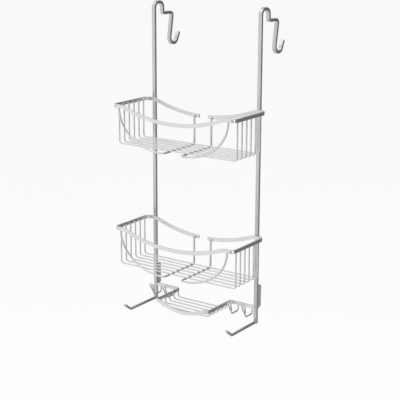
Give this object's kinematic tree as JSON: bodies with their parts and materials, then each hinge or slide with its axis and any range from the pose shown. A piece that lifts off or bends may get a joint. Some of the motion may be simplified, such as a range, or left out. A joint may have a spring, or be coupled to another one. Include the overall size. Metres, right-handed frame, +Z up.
{
  "type": "shower caddy",
  "caption": "Over-door shower caddy of flat metal bar and round wire: stacked baskets with dipping rims, a soap tray, razor hooks and towel arms between rails bent over the door.",
  "frame": {"origin": "midway between the two door hooks, on the underside of their arches, where the top edge of the door bears", "axes": "-Y out of the caddy's front, away from the door; +Z up; +X to the right seen from the front"},
  "size_m": [0.299, 0.205, 0.651],
  "materials": {
    "satin_bar": "satin",
    "satin_wire": "satin",
    "grey_plastic": "matte"
  },
  "bodies": {
    "root": {"left_rail": "satin_bar", "right_rail": "satin_bar", "left_spacer": "grey_plastic", "right_spacer": "grey_plastic", "left_towel_arm": "satin_wire", "right_towel_arm": "satin_wire", "left_outer_razor_hook": "satin_wire", "left_inner_razor_hook": "satin_wire", "right_outer_razor_hook": "satin_wire", "right_inner_razor_hook": "satin_wire", "upper_basket_rim": "satin_bar", "upper_basket_wire_1": "satin_wire", "upper_basket_wire_2": "satin_wire", "upper_basket_wire_3": "satin_wire", "upper_basket_wire_4": "satin_wire", "upper_basket_wire_5": "satin_wire", "upper_basket_wire_6": "satin_wire", "upper_basket_left_support": "satin_wire", "upper_basket_right_support": "satin_wire", "lower_basket_rim": "satin_bar", "lower_basket_wire_1": "satin_wire", "lower_basket_wire_2": "satin_wire", "lower_basket_wire_3": "satin_wire", "lower_basket_wire_4": "satin_wire", "lower_basket_wire_5": "satin_wire", "lower_basket_wire_6": "satin_wire", "lower_basket_left_support": "satin_wire", "lower_basket_right_support": "satin_wire", "tray_rim": "satin_bar", "tray_wire_1": "satin_wire", "tray_wire_2": "satin_wire", "tray_wire_3": "satin_wire", "tray_wire_4": "satin_wire", "tray_wire_5": "satin_wire"}
  },
  "joints": []
}
